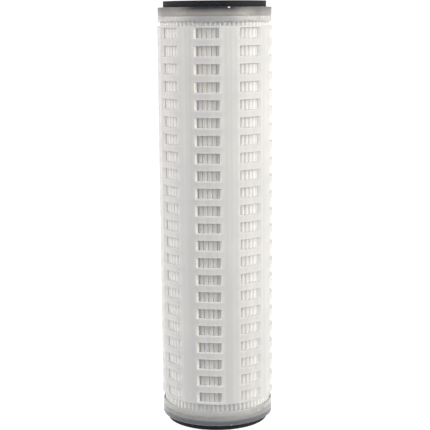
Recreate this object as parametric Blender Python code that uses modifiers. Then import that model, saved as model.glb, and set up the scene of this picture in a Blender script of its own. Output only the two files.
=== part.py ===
"""Pleated filter cartridge, 10 inch, open at both ends, with a flat gasket on each end cap.

Metres, +Z up. The origin is the centre of the bottom gasket's lower face, and the cartridge
stands along +Z. The front of the cartridge faces -Y.
"""

import math

import bmesh
import bpy

# ---- Driving dimensions -------------------------------------------------------------------

CARTRIDGE_LENGTH = 0.2540        # over both gaskets, uncompressed
CAGE_RADIUS = 0.0343             # outside of the outer cage, the widest piece
BORE_RADIUS = 0.0140             # clear way through both end caps

TOUCH_GAP = 0.0003               # left between two pieces that rest on each other

GASKET_THICKNESS = 0.0063        # quarter-inch foamed rubber
GASKET_SEAT_DEPTH = 0.0030       # depth of the seat in the end cap that the gasket lies in
GASKET_RIM_WIDTH = 0.0029        # end-cap rim outside the gasket's seat
GASKET_BORE_RIM = 0.0012         # end-cap rim between the bore and the gasket's seat

CAP_INSET = 0.00055              # end-cap ring lies this far inside the cage's outside
CAP_RING_HEIGHT = 0.0052         # smooth moulded ring
CAP_FLOOR_THICKNESS = 0.0020     # between the gasket's seat and the ends of the pleats
CAP_EDGE_CHAMFER = 0.0004
TOP_WELD_LIP = 0.0033            # skirt of weld flash beyond the ring, top end cap
BOTTOM_WELD_LIP = 0.0038         # the same, bottom end cap
WELD_LIP_CHAMFER = 0.0005
SPIGOT_WALL = 0.0010             # collar of the end cap that stands inside the core
SPIGOT_HEIGHT = 0.0090           # from the end cap's floor
SPIGOT_FIT = 0.0005              # collar to the inside of the core, which has coarser facets

CAGE_WALL = 0.0013
CAGE_TOP_GAP = 0.0022            # open neck between the cage and the top weld lip
CAGE_BOTTOM_GAP = 0.0044         # open neck between the cage and the bottom weld lip
CAGE_END_BAND_MIN = 0.0008       # least height of the solid band at each end of the cage
CAGE_COLUMNS = 8
CAGE_WINDOW_WIDTH = 0.01545      # along the cage's outside
CAGE_WINDOW_HEIGHT = 0.0062
CAGE_ROW_PITCH = 0.010215
CAGE_FRONT_COLUMN_TURN = -7.6    # degrees from the front to the nearest column's centre, + to the right

PLEAT_COUNT = 72
PLEAT_TIP_CLEARANCE = 0.0005     # pleat tips to the inside of the cage
PLEAT_CORE_CLEARANCE = 0.0006    # pleat valleys to the outside of the core
SUPPORT_THICKNESS = 0.00012
MEDIA_THICKNESS = 0.00012
LAYER_GAP = 0.00008              # between two layers of the pleat pack

CORE_WALL = 0.0020
CORE_COLUMNS = 8
CORE_WINDOW_SHARE = 0.60         # of the core's way round that is window
CORE_WINDOW_HEIGHT = 0.0100
CORE_ROW_PITCH = 0.0170
CORE_END_BAND_MIN = 0.0100       # solid at each end, where the end cap's collar stands inside

SEAM_THICKNESS = 0.00025         # welded strip that closes the pleated sheet into a tube
SEAM_DEPTH = 0.0040
SEAM_TIP_INSET = 0.0005          # outer edge of the strip, inside the pleat tips
SEAM_PLEAT = PLEAT_COUNT // 2    # gap between pleats that holds the strip, counted from the front

ROUND_STEPS = 48                 # facets round a turned piece
WINDOW_FACETS = 2                # facets of the cage or core across one window
STAVE_FACETS = 2                 # facets of the cage across one stave

# ---- Fits that follow from them -----------------------------------------------------------

GASKET_STAND = GASKET_THICKNESS + TOUCH_GAP - GASKET_SEAT_DEPTH
CAP_RADIUS = CAGE_RADIUS - CAP_INSET
SEAT_OUTER_RADIUS = CAP_RADIUS - GASKET_RIM_WIDTH
SEAT_INNER_RADIUS = BORE_RADIUS + GASKET_BORE_RIM
GASKET_OUTER_RADIUS = SEAT_OUTER_RADIUS - TOUCH_GAP
GASKET_INNER_RADIUS = SEAT_INNER_RADIUS + TOUCH_GAP

PACK_RADIUS = CAGE_RADIUS - CAGE_WALL - PLEAT_TIP_CLEARANCE
CAP_POCKET_RADIUS = PACK_RADIUS + TOUCH_GAP
CAP_FLOOR_DEPTH = GASKET_SEAT_DEPTH + CAP_FLOOR_THICKNESS
SPIGOT_RADIUS = BORE_RADIUS + SPIGOT_WALL
CORE_INNER_RADIUS = SPIGOT_RADIUS + SPIGOT_FIT
CORE_RADIUS = CORE_INNER_RADIUS + CORE_WALL
PACK_INNER_RADIUS = CORE_RADIUS + PLEAT_CORE_CLEARANCE

PACK_BOTTOM = GASKET_STAND + CAP_FLOOR_DEPTH + TOUCH_GAP
PACK_TOP = CARTRIDGE_LENGTH - PACK_BOTTOM
CAGE_BOTTOM = GASKET_STAND + CAP_RING_HEIGHT + BOTTOM_WELD_LIP + CAGE_BOTTOM_GAP
CAGE_TOP = CARTRIDGE_LENGTH - GASKET_STAND - CAP_RING_HEIGHT - TOP_WELD_LIP - CAGE_TOP_GAP

STACK_HALF = MEDIA_THICKNESS / 2 + LAYER_GAP + SUPPORT_THICKNESS
TIP_RADIUS = PACK_RADIUS - STACK_HALF             # middle of the media at a pleat's tip
VALLEY_RADIUS = PACK_INNER_RADIUS + STACK_HALF    # middle of the media at a pleat's valley
PLEAT_ANGLE = 2 * math.pi / PLEAT_COUNT
FRONT = -math.pi / 2                              # the front, as an angle from +X


def clear_scene():
    for item in list(bpy.data.objects):
        bpy.data.objects.remove(item, do_unlink=True)


def make_collection(name):
    collection = bpy.data.collections.new(name)
    bpy.context.scene.collection.children.link(collection)
    return collection


def plastic_material(name, colour, roughness):
    """Natural polypropylene or polyester: not metallic."""
    material = bpy.data.materials.new(name)
    material.use_nodes = True
    shader = material.node_tree.nodes["Principled BSDF"]
    shader.inputs["Base Color"].default_value = (*colour, 1.0)
    shader.inputs["Roughness"].default_value = roughness
    shader.inputs["Metallic"].default_value = 0.0
    return material


def add_object(name, data, material, collection):
    item = bpy.data.objects.new(name, data)
    data.materials.append(material)
    collection.objects.link(item)
    return item


def turned_piece(name, profile, material, collection):
    """A closed profile of (radius, height) points turned round the cartridge's axis.

    The points run down the outer side and come back up the inner side.
    """
    mesh = bpy.data.meshes.new(name)
    edges = [(i, (i + 1) % len(profile)) for i in range(len(profile))]
    mesh.from_pydata([(radius, 0.0, height) for radius, height in profile], edges, [])
    item = add_object(name, mesh, material, collection)
    screw = item.modifiers.new("turn", "SCREW")
    screw.axis = "Z"
    screw.angle = 2 * math.pi
    screw.steps = ROUND_STEPS
    screw.render_steps = ROUND_STEPS
    screw.use_merge_vertices = True
    screw.merge_threshold = 0.00001
    screw.use_smooth_shade = False
    return item


def gasket(name, lower_face, material, collection):
    upper_face = lower_face + GASKET_THICKNESS
    profile = [
        (GASKET_OUTER_RADIUS, upper_face),
        (GASKET_OUTER_RADIUS, lower_face),
        (GASKET_INNER_RADIUS, lower_face),
        (GASKET_INNER_RADIUS, upper_face),
    ]
    return turned_piece(name, profile, material, collection)


def end_cap_profile(weld_lip):
    """(radius, depth) points of an end cap; depth runs from its outer face into the cartridge."""
    skirt = CAP_RING_HEIGHT + weld_lip
    collar = CAP_FLOOR_DEPTH + SPIGOT_HEIGHT
    return [
        (CAP_RADIUS - CAP_EDGE_CHAMFER, 0.0),
        (SEAT_OUTER_RADIUS, 0.0),
        (SEAT_OUTER_RADIUS, GASKET_SEAT_DEPTH),
        (SEAT_INNER_RADIUS, GASKET_SEAT_DEPTH),
        (SEAT_INNER_RADIUS, 0.0),
        (BORE_RADIUS, 0.0),
        (BORE_RADIUS, collar),
        (SPIGOT_RADIUS, collar),
        (SPIGOT_RADIUS, CAP_FLOOR_DEPTH),
        (CAP_POCKET_RADIUS, CAP_FLOOR_DEPTH),
        (CAP_POCKET_RADIUS, skirt),
        (CAP_RADIUS - WELD_LIP_CHAMFER, skirt),
        (CAP_RADIUS, skirt - WELD_LIP_CHAMFER),
        (CAP_RADIUS, CAP_EDGE_CHAMFER),
    ]


def bottom_end_cap(material, collection):
    profile = [(radius, GASKET_STAND + depth) for radius, depth in end_cap_profile(BOTTOM_WELD_LIP)]
    return turned_piece("bottom_end_cap", profile, material, collection)


def top_end_cap(material, collection):
    face = CARTRIDGE_LENGTH - GASKET_STAND
    profile = [(radius, face - depth) for radius, depth in end_cap_profile(TOP_WELD_LIP)]
    return turned_piece("top_end_cap", profile[::-1], material, collection)


def stations(start, spans, repeats):
    """Running positions: each span is (length, parts), and the list of spans is repeated."""
    places = [start]
    for length, parts in spans * repeats:
        base = places[-1]
        places += [base + length * part / parts for part in range(1, parts + 1)]
    return places


def window_rows(bottom, top, window_height, row_pitch, least_end_band):
    """How many rows of windows fit, and the height of the lowest window's lower edge."""
    band = row_pitch - window_height
    rows = int((top - bottom - 2 * least_end_band + band) / row_pitch)
    rows_span = rows * row_pitch - band
    return rows, (bottom + top - rows_span) / 2


def punched_tube(name, tube, material, collection):
    """A flat sheet with rows of windows cut out, rolled into a tube and given its wall."""
    sector = 2 * math.pi / tube["columns"]
    window = tube["window_angle"]
    first_edge = tube["first_centre"] - window / 2
    around = stations(
        first_edge,
        [(window, WINDOW_FACETS), (sector - window, tube["stave_facets"])],
        tube["columns"],
    )
    rows, first_sill = window_rows(
        tube["bottom"], tube["top"], tube["window_height"], tube["row_pitch"], tube["least_end_band"]
    )
    sills = [first_sill + row * tube["row_pitch"] for row in range(rows)]
    up = [tube["bottom"]]
    for sill in sills:
        up += [sill, sill + tube["window_height"]]
    up.append(tube["top"])

    sheet = bmesh.new()
    columns, levels = len(around) - 1, len(up) - 1
    bmesh.ops.create_grid(sheet, x_segments=columns, y_segments=levels, size=0.5)
    facets_per_sector = WINDOW_FACETS + tube["stave_facets"]
    punched = []
    for face in sheet.faces:
        centre = face.calc_center_median()
        column = int((centre.x + 0.5) * columns)
        level = int((centre.y + 0.5) * levels)
        if column % facets_per_sector < WINDOW_FACETS and level % 2 == 1:
            punched.append(face)
    bmesh.ops.delete(sheet, geom=punched, context="FACES")
    for vert in sheet.verts:
        angle = around[round((vert.co.x + 0.5) * columns)]
        height = up[round((vert.co.y + 0.5) * levels)]
        vert.co = (tube["radius"] * math.cos(angle), tube["radius"] * math.sin(angle), height)
    bmesh.ops.remove_doubles(sheet, verts=sheet.verts, dist=0.00001)
    mesh = bpy.data.meshes.new(name)
    sheet.to_mesh(mesh)
    sheet.free()
    item = add_object(name, mesh, material, collection)
    wall = item.modifiers.new("wall", "SOLIDIFY")
    wall.thickness = tube["wall"]
    wall.offset = -1.0
    wall.use_even_offset = True
    return item


def outer_cage(material, collection):
    tube = {
        "radius": CAGE_RADIUS,
        "wall": CAGE_WALL,
        "bottom": CAGE_BOTTOM,
        "top": CAGE_TOP,
        "columns": CAGE_COLUMNS,
        "stave_facets": STAVE_FACETS,
        "window_angle": CAGE_WINDOW_WIDTH / CAGE_RADIUS,
        "first_centre": FRONT + math.radians(CAGE_FRONT_COLUMN_TURN),
        "window_height": CAGE_WINDOW_HEIGHT,
        "row_pitch": CAGE_ROW_PITCH,
        "least_end_band": CAGE_END_BAND_MIN,
    }
    return punched_tube("outer_cage", tube, material, collection)


def inner_core(material, collection):
    tube = {
        "radius": CORE_RADIUS,
        "wall": CORE_WALL,
        "bottom": PACK_BOTTOM,
        "top": PACK_TOP,
        "columns": CORE_COLUMNS,
        "stave_facets": 1,
        "window_angle": CORE_WINDOW_SHARE * 2 * math.pi / CORE_COLUMNS,
        "first_centre": FRONT,
        "window_height": CORE_WINDOW_HEIGHT,
        "row_pitch": CORE_ROW_PITCH,
        "least_end_band": CORE_END_BAND_MIN,
    }
    return punched_tube("inner_core", tube, material, collection)


def pleat_outline(offset):
    """One face of a pleated layer, seen from above; offset is measured outwards from the
    middle of the media, square to it."""
    tip_half = TIP_RADIUS * math.sin(PLEAT_ANGLE / 4) + offset
    valley_half = VALLEY_RADIUS * math.sin(PLEAT_ANGLE / 4) - offset
    points = []
    for pleat in range(PLEAT_COUNT):
        tip_angle = FRONT + pleat * PLEAT_ANGLE
        valley_angle = tip_angle + PLEAT_ANGLE / 2
        corners = [
            (tip_angle, TIP_RADIUS + offset, -tip_half),
            (tip_angle, TIP_RADIUS + offset, tip_half),
            (valley_angle, VALLEY_RADIUS + offset, -valley_half),
            (valley_angle, VALLEY_RADIUS + offset, valley_half),
        ]
        for angle, out, aside in corners:
            x = out * math.cos(angle) - aside * math.sin(angle)
            y = out * math.sin(angle) + aside * math.cos(angle)
            points.append((x, y))
    return points


def pleated_layer(name, middle, thickness, material, collection):
    """A pleated sheet rolled into a closed tube, standing between the two end caps."""
    curve = bpy.data.curves.new(name, "CURVE")
    curve.dimensions = "2D"
    curve.fill_mode = "BOTH"
    curve.extrude = (PACK_TOP - PACK_BOTTOM) / 2
    for offset in (middle + thickness / 2, middle - thickness / 2):
        outline = pleat_outline(offset)
        spline = curve.splines.new("POLY")
        spline.points.add(len(outline) - 1)
        for point, (x, y) in zip(spline.points, outline):
            point.co = (x, y, 0.0, 1.0)
        spline.use_cyclic_u = True
    item = add_object(name, curve, material, collection)
    item.location.z = (PACK_TOP + PACK_BOTTOM) / 2
    return item


def side_seam(material, collection):
    """The welded strip stands between two pleats, over the whole height of the pack."""
    mesh = bpy.data.meshes.new("side_seam")
    strip = bmesh.new()
    bmesh.ops.create_cube(strip, size=1.0)
    outer_edge = PACK_RADIUS - SEAM_TIP_INSET
    for vert in strip.verts:
        vert.co.x = outer_edge - SEAM_DEPTH * (0.5 - vert.co.x)
        vert.co.y *= SEAM_THICKNESS
        vert.co.z *= PACK_TOP - PACK_BOTTOM
    strip.to_mesh(mesh)
    strip.free()
    item = add_object("side_seam", mesh, material, collection)
    item.location.z = (PACK_TOP + PACK_BOTTOM) / 2
    item.rotation_euler.z = FRONT + (SEAM_PLEAT + 0.5) * PLEAT_ANGLE
    return item


def shade_round(item):
    """Smooth along the round, sharp at the corners."""
    if item.type == "MESH":
        item.data.shade_smooth()
        item.data.set_sharp_from_angle(angle=math.radians(35))
    for modifier in item.modifiers:
        if modifier.type == "SCREW":
            modifier.use_smooth_shade = True


def build_cartridge():
    clear_scene()
    cartridge = make_collection("filter_cartridge")
    cage_plastic = plastic_material("cage_plastic", (0.84, 0.84, 0.83), 0.42)
    cap_plastic = plastic_material("cap_plastic", (0.74, 0.73, 0.70), 0.35)
    core_plastic = plastic_material("core_plastic", (0.86, 0.86, 0.85), 0.45)
    seal_rubber = plastic_material("seal_rubber", (0.025, 0.025, 0.027), 0.75)
    support_fabric = plastic_material("support_fabric", (0.88, 0.90, 0.93), 0.80)
    media_fabric = plastic_material("media_fabric", (0.93, 0.92, 0.88), 0.85)
    seam_plastic = plastic_material("seam_plastic", (0.80, 0.80, 0.78), 0.50)

    top_lower_face = CARTRIDGE_LENGTH - GASKET_THICKNESS
    support_middle = MEDIA_THICKNESS / 2 + LAYER_GAP + SUPPORT_THICKNESS / 2
    pieces = [
        gasket("bottom_gasket", 0.0, seal_rubber, cartridge),
        gasket("top_gasket", top_lower_face, seal_rubber, cartridge),
        bottom_end_cap(cap_plastic, cartridge),
        top_end_cap(cap_plastic, cartridge),
        outer_cage(cage_plastic, cartridge),
        inner_core(core_plastic, cartridge),
        pleated_layer("upstream_support", support_middle, SUPPORT_THICKNESS, support_fabric, cartridge),
        pleated_layer("filter_media", 0.0, MEDIA_THICKNESS, media_fabric, cartridge),
        pleated_layer("downstream_support", -support_middle, SUPPORT_THICKNESS, support_fabric, cartridge),
        side_seam(seam_plastic, cartridge),
    ]
    for piece in pieces:
        shade_round(piece)


build_cartridge()
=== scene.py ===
import math

import bmesh
import bpy
from mathutils import Euler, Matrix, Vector, noise


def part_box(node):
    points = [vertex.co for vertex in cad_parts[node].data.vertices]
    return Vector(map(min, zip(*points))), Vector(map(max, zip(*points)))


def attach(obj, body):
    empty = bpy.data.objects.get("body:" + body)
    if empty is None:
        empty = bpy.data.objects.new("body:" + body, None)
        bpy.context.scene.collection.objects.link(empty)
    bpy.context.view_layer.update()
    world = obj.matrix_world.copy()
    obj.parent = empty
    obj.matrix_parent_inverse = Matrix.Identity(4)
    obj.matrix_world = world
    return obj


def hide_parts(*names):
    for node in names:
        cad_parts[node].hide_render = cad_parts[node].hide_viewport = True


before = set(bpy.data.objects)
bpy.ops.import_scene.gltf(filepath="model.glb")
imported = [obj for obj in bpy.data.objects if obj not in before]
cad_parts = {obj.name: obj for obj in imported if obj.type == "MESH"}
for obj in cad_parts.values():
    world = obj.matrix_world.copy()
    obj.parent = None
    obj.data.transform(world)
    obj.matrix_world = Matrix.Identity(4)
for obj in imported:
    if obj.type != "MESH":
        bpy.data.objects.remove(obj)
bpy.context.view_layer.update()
tau = 2 * math.pi
mm = 0.001


# small helpers for node trees, shared by the materials and the geometry

def put(tree, kind, inputs=None, **settings):
    node = tree.nodes.new(kind)
    for key, value in settings.items():
        setattr(node, key, value)
    for key, value in (inputs or {}).items():
        socket = node.inputs[key]
        if isinstance(value, bpy.types.NodeSocket):
            tree.links.new(value, socket)
        else:
            socket.default_value = value
    return node


def calc(tree, operation, a, b=0.0):
    return put(tree, "ShaderNodeMath", {0: a, 1: b}, operation=operation).outputs[0]


def product(tree, result, *others):
    for other in others:
        result = calc(tree, "MULTIPLY", result, other)
    return result


def vectorCalc(tree, operation, a, b):
    return put(tree, "ShaderNodeVectorMath", {0: a, 1: b}, operation=operation).outputs[0]


def vectorLength(tree, vector):
    return put(tree, "ShaderNodeVectorMath", {0: vector}, operation="LENGTH").outputs["Value"]


def apart(tree, vector):
    return put(tree, "ShaderNodeSeparateXYZ", {0: vector}).outputs


def newMaterial(name):
    material = bpy.data.materials.new(name)
    material.use_nodes = True
    tree = material.node_tree
    shader = tree.nodes["Principled BSDF"]
    return material, tree, shader


def objectCoords(tree, scale=(1.0, 1.0, 1.0)):
    coords = put(tree, "ShaderNodeTexCoord").outputs["Object"]
    return put(tree, "ShaderNodeMapping", {"Vector": coords, "Scale": scale}).outputs[0]


def cloud(tree, vector, scale, detail=3.0, roughness=0.5):
    inputs = {"Vector": vector, "Scale": scale, "Detail": detail, "Roughness": roughness}
    return put(tree, "ShaderNodeTexNoise", inputs).outputs["Fac"]


def spread(tree, value, low, high, toLow=0.0, toHigh=1.0):
    node = put(
        tree, "ShaderNodeMapRange",
        {"Value": value, "From Min": low, "From Max": high, "To Min": toLow, "To Max": toHigh},
    )
    return node.outputs[0]


def blendColours(tree, factor, a, b, mode="MIX"):
    node = put(tree, "ShaderNodeMix", data_type="RGBA", blend_type=mode)
    for index, value in ((0, factor), (6, a), (7, b)):
        socket = node.inputs[index]
        if isinstance(value, bpy.types.NodeSocket):
            tree.links.new(value, socket)
        else:
            socket.default_value = value if index == 0 else (*value, 1.0)
    return node.outputs[2]


def addBump(tree, shader, layers):
    normal = None
    for height, strength, distance in layers:
        node = put(tree, "ShaderNodeBump", {"Height": height, "Strength": strength, "Distance": distance})
        if normal:
            tree.links.new(normal, node.inputs["Normal"])
        normal = node.outputs[0]
    tree.links.new(normal, shader.inputs["Normal"])


# where a point is: how far round from the front, and how far in from the nearer end's rim

def turnAngle(tree, coords):
    place = apart(tree, coords)
    return calc(tree, "ARCTAN2", place["X"], calc(tree, "MULTIPLY", place["Y"], -1.0))


def rimDepth(tree, coords):
    height = apart(tree, coords)["Z"]
    fromLow = calc(tree, "SUBTRACT", height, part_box("bottom_end_cap")[0].z)
    fromHigh = calc(tree, "SUBTRACT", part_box("top_end_cap")[1].z, height)
    return calc(tree, "MINIMUM", fromLow, fromHigh)


# natural polypropylene: milky, with flow streaks and a few dark specks; a painted glow where it is cut
# square at the windows, painted shade on faces that look up, painted shade of the pleats and the seal
# behind it, and painted highlights on the caps' rims

plasticGrainAndShading = {
    "hazeRange": (0.35, 0.65), "streakRange": (0.4, 0.62), "pleatRange": (-0.8, 0.6),
    "pleatWander": 2.2, "frontRange": (0.70, 0.96), "upShadeRange": (0.5, 0.9),
    "roughRange": (0.7, 1.3), "refraction": 1.49, "glowColour": (1.0, 0.95, 0.89, 1.0),
    "hazeBump": (0.25, 0.4 * mm), "streakBump": (0.2, 0.12 * mm), "grainBump": (0.12, 0.08 * mm),
    "sealWaver": 0.6 * mm,
}


def pleatShade(tree, coords, wander):
    # 1 in front of a pleat's tip, 0 in front of a gap: painted shade of the gaps between pleats, on top of
    # the pleats seen faintly through the milky plastic
    angle = calc(tree, "SUBTRACT", turnAngle(tree, coords), math.radians(pleatShape["firstTip"]))
    phase = calc(tree, "MULTIPLY", angle, pleatShape["pleats"])
    phase = calc(tree, "ADD", phase, calc(tree, "MULTIPLY", wander, plasticGrainAndShading["pleatWander"]))
    return spread(tree, calc(tree, "COSINE", phase), *plasticGrainAndShading["pleatRange"])


def bodyColour(tree, coords, haze, streaks, look):
    colour = blendColours(tree, spread(tree, haze, *plasticGrainAndShading["hazeRange"]), look["deep"], look["pale"])
    streaky = spread(tree, streaks, *plasticGrainAndShading["streakRange"], 0.0, look["streakAmount"])
    colour = blendColours(tree, streaky, colour, look["streak"])
    # painted shade where a gap between pleats lies behind the plastic
    gapShade = calc(tree, "SUBTRACT", 1.0, pleatShade(tree, coords, streaks))
    gapShade = calc(tree, "MULTIPLY", gapShade, look["showThrough"])
    if "showDepth" in look:
        gapShade = product(tree, gapShade, spread(tree, rimDepth(tree, coords), *look["showDepth"]))
    colour = blendColours(tree, gapShade, colour, look["shade"])
    # painted shade and light by turn from the front: the top flash darker towards the front, the bottom
    # flash paler
    if "frontPaintedTone" in look:
        facing = calc(tree, "COSINE", turnAngle(tree, coords))
        ahead = spread(tree, facing, *plasticGrainAndShading["frontRange"], 0.0, look["frontAmount"])
        colour = blendColours(tree, ahead, colour, look["frontPaintedTone"])
    return colour


def rimShadeHighlightAndGate(tree, coords, haze, colour, look):
    colour = blendColours(tree, sealShadeThroughRim(tree, coords, haze, look), colour, look["sealShade"])
    # painted highlight along the rim's edge
    edge = spread(tree, rimDepth(tree, coords), look["rimHighlightReach"] * 0.6, look["rimHighlightReach"], 1.0, 0.0)
    colour = blendColours(tree, calc(tree, "MULTIPLY", edge, look["rimHighlightAmount"]), colour, look["rimHighlight"])
    return blendColours(tree, gateStubAndHighlight(tree, coords, look), colour, look["gateHighlight"])


def sealShadeThroughRim(tree, coords, haze, look):
    # painted shade: the gasket's side shown dark through the rim round its seat, strongest towards the
    # front
    waver = calc(tree, "MULTIPLY", calc(tree, "SUBTRACT", haze, 0.5), plasticGrainAndShading["sealWaver"])
    depth = calc(tree, "ADD", rimDepth(tree, coords), waver)
    fade = spread(tree, depth, *look["sealFade"], 1.0, 0.0)
    facing = calc(tree, "COSINE", turnAngle(tree, coords))
    return product(tree, fade, spread(tree, facing, *look["sealFrontRange"], look["sealLeast"], 1.0))


def gateStubAndHighlight(tree, coords, look):
    # the pale stub where the plastic was fed in, on the rim's outer edge, painted near white as a painted
    # highlight on it
    aside = calc(tree, "SUBTRACT", turnAngle(tree, coords), math.radians(look["gateTurn"]))
    beside = calc(tree, "MULTIPLY", calc(tree, "ABSOLUTE", aside), look["gateRadius"])
    across = spread(tree, beside, look["gateHalf"] * 0.6, look["gateHalf"], 1.0, 0.0)
    down = spread(tree, rimDepth(tree, coords), look["gateDrop"] * 0.7, look["gateDrop"], 1.0, 0.0)
    outward = vectorLength(tree, vectorCalc(tree, "MULTIPLY", coords, (1.0, 1.0, 0.0)))
    return product(tree, across, down, spread(tree, outward, *look["gateEdge"]))


def specks(tree, coords, look):
    cells = put(tree, "ShaderNodeTexVoronoi", {"Vector": coords, "Scale": look["speckScale"]}).outputs
    draw = put(tree, "ShaderNodeSeparateColor", {0: cells["Color"]}).outputs[0]
    chosen = calc(tree, "GREATER_THAN", draw, 1.0 - look["speckShare"])
    near = spread(tree, cells["Distance"], look["speckSize"] * 0.5, look["speckSize"], 1.0, 0.0)
    return calc(tree, "MULTIPLY", chosen, near)


def milkyPlastic(name, look):
    material, tree, shader = newMaterial(name)
    coords = objectCoords(tree)
    streakCoords = objectCoords(tree, (1.0, 1.0, look["streakStretch"]))
    haze = cloud(tree, coords, look["hazeScale"], 3.0)
    streaks = cloud(tree, streakCoords, look["streakScale"], 2.0)
    grain = cloud(tree, coords, look["grainScale"], 2.0)
    colour = bodyColour(tree, coords, haze, streaks, look)
    if "sealShade" in look:
        colour = rimShadeHighlightAndGate(tree, coords, haze, colour, look)
    cutEdge = put(tree, "ShaderNodeAttribute", attribute_name="cutEdge").outputs["Fac"]
    # the window sides take cutColour, set to suit the painted glow below
    colour = blendColours(tree, cutEdge, colour, look["cutColour"])
    normal = apart(tree, put(tree, "ShaderNodeNewGeometry").outputs["Normal"])
    # painted shade on faces that look up
    upShadeMask = spread(tree, normal["Z"], *plasticGrainAndShading["upShadeRange"], 0.0, look["upShadeAmount"])
    colour = blendColours(tree, upShadeMask, colour, look["upShade"])
    colour = blendColours(tree, specks(tree, coords, look), colour, look["speck"])
    tree.links.new(colour, shader.inputs["Base Color"])
    uneven = calc(tree, "ADD", haze, grain)
    rough = spread(tree, uneven, *plasticGrainAndShading["roughRange"], *look["roughness"])
    tree.links.new(rough, shader.inputs["Roughness"])
    shader.inputs["IOR"].default_value = plasticGrainAndShading["refraction"]
    shader.inputs["Specular IOR Level"].default_value = look.get("specular", 0.5)
    shader.inputs["Alpha"].default_value = look["alpha"]
    shader.inputs["Transmission Weight"].default_value = look["clear"]
    shader.inputs["Emission Color"].default_value = plasticGrainAndShading["glowColour"]
    # painted glow at a window's side, standing in for light coming through the wall, most where that side
    # faces the front or the back
    glow = product(tree, cutEdge, normal["Y"], normal["Y"], look["edgeGlow"])
    tree.links.new(glow, shader.inputs["Emission Strength"])
    addBump(tree, shader, [
        (haze, *plasticGrainAndShading["hazeBump"]), (streaks, *plasticGrainAndShading["streakBump"]),
        (grain, *plasticGrainAndShading["grainBump"]),
    ])
    return material


cageLook = {
    "pale": (0.88, 0.88, 0.872), "deep": (0.80, 0.805, 0.808), "streak": (0.72, 0.73, 0.75),
    "streakAmount": 0.6, "hazeScale": 30.0, "streakScale": 260.0, "streakStretch": 0.015,
    "grainScale": 1900.0, "showThrough": 0.35, "shade": (0.76, 0.765, 0.77),
    "cutColour": (0.74, 0.73, 0.715), "clear": 0.0, "edgeGlow": 0.33, "upShadeAmount": 0.9,
    "upShade": (0.72, 0.715, 0.705), "speck": (0.10, 0.08, 0.06), "speckScale": 42.0,
    "speckSize": 0.016, "speckShare": 0.035, "roughness": (0.40, 0.55), "specular": 0.3,
    "alpha": 0.74,
}
topCapLook = {
    "pale": (0.33, 0.318, 0.30), "deep": (0.285, 0.277, 0.265), "streak": (0.37, 0.357, 0.335),
    "streakAmount": 0.3, "hazeScale": 90.0, "streakScale": 160.0, "streakStretch": 2.5,
    "grainScale": 1500.0, "showThrough": 0.0, "shade": (0.4, 0.4, 0.4),
    "cutColour": (0.9, 0.9, 0.88), "sealShade": (0.022, 0.026, 0.042),
    "sealFade": (0.8 * mm, 3.6 * mm), "sealFrontRange": (0.66, 0.93), "sealLeast": 0.34,
    "rimHighlightReach": 0.45 * mm, "rimHighlightAmount": 0.0, "rimHighlight": (0.50, 0.44, 0.38), "clear": 0.0,
    "edgeGlow": 0.0, "upShadeAmount": 0.0, "upShade": (0.66, 0.655, 0.645), "gateTurn": 14.0,
    "gateRadius": 34.0 * mm, "gateEdge": (33.2 * mm, 33.5 * mm), "gateHalf": 0.75 * mm,
    "gateDrop": 0.85 * mm, "gateHighlight": (0.92, 0.92, 0.92), "speck": (0.12, 0.10, 0.08),
    "speckScale": 60.0, "speckSize": 0.015, "speckShare": 0.02, "roughness": (0.24, 0.40),
    "alpha": 0.94,
}
# the bottom cap: painted seal shade almost all round, and a painted highlight along the rim
bottomCapLook = dict(
    topCapLook, sealShade=(0.10, 0.115, 0.145), sealFade=(2.3 * mm, 3.5 * mm),
    sealFrontRange=(-0.4, 0.9), sealLeast=0.75, rimHighlightAmount=0.55, gateHalf=0.5 * mm, gateDrop=0.55 * mm,
)
flashLook = {
    "pale": (0.76, 0.75, 0.73), "deep": (0.63, 0.63, 0.62), "streak": (0.82, 0.82, 0.81),
    "streakAmount": 0.4, "hazeScale": 150.0, "streakScale": 260.0, "streakStretch": 2.6,
    "grainScale": 1500.0, "showThrough": 0.75, "shade": (0.50, 0.51, 0.52),
    "showDepth": (5.6 * mm, 8.6 * mm), "cutColour": (0.9, 0.9, 0.88),
    "frontPaintedTone": (0.44, 0.45, 0.47), "frontAmount": 0.8, "clear": 0.10, "edgeGlow": 0.0,
    "upShadeAmount": 0.0, "upShade": (0.66, 0.655, 0.645), "speck": (0.12, 0.10, 0.08),
    "speckScale": 60.0, "speckSize": 0.015, "speckShare": 0.02, "roughness": (0.24, 0.40),
    "alpha": 0.86,
}
# the bottom weld flash is a painted-shade copy of the top one, darker overall
shadedBottomFlashLook = dict(
    flashLook, pale=(0.56, 0.55, 0.53), deep=(0.45, 0.45, 0.44), frontPaintedTone=(0.58, 0.58, 0.58),
)
coreLook = dict(cageLook, alpha=1.0, showThrough=0.0)


# spun-bonded fleece: pale fibres; painted shade at the front and back, with darker bluish tips and warm
# ochre folds, folds painted paler than the tips at the sides, and a painted glow in the folds

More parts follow.
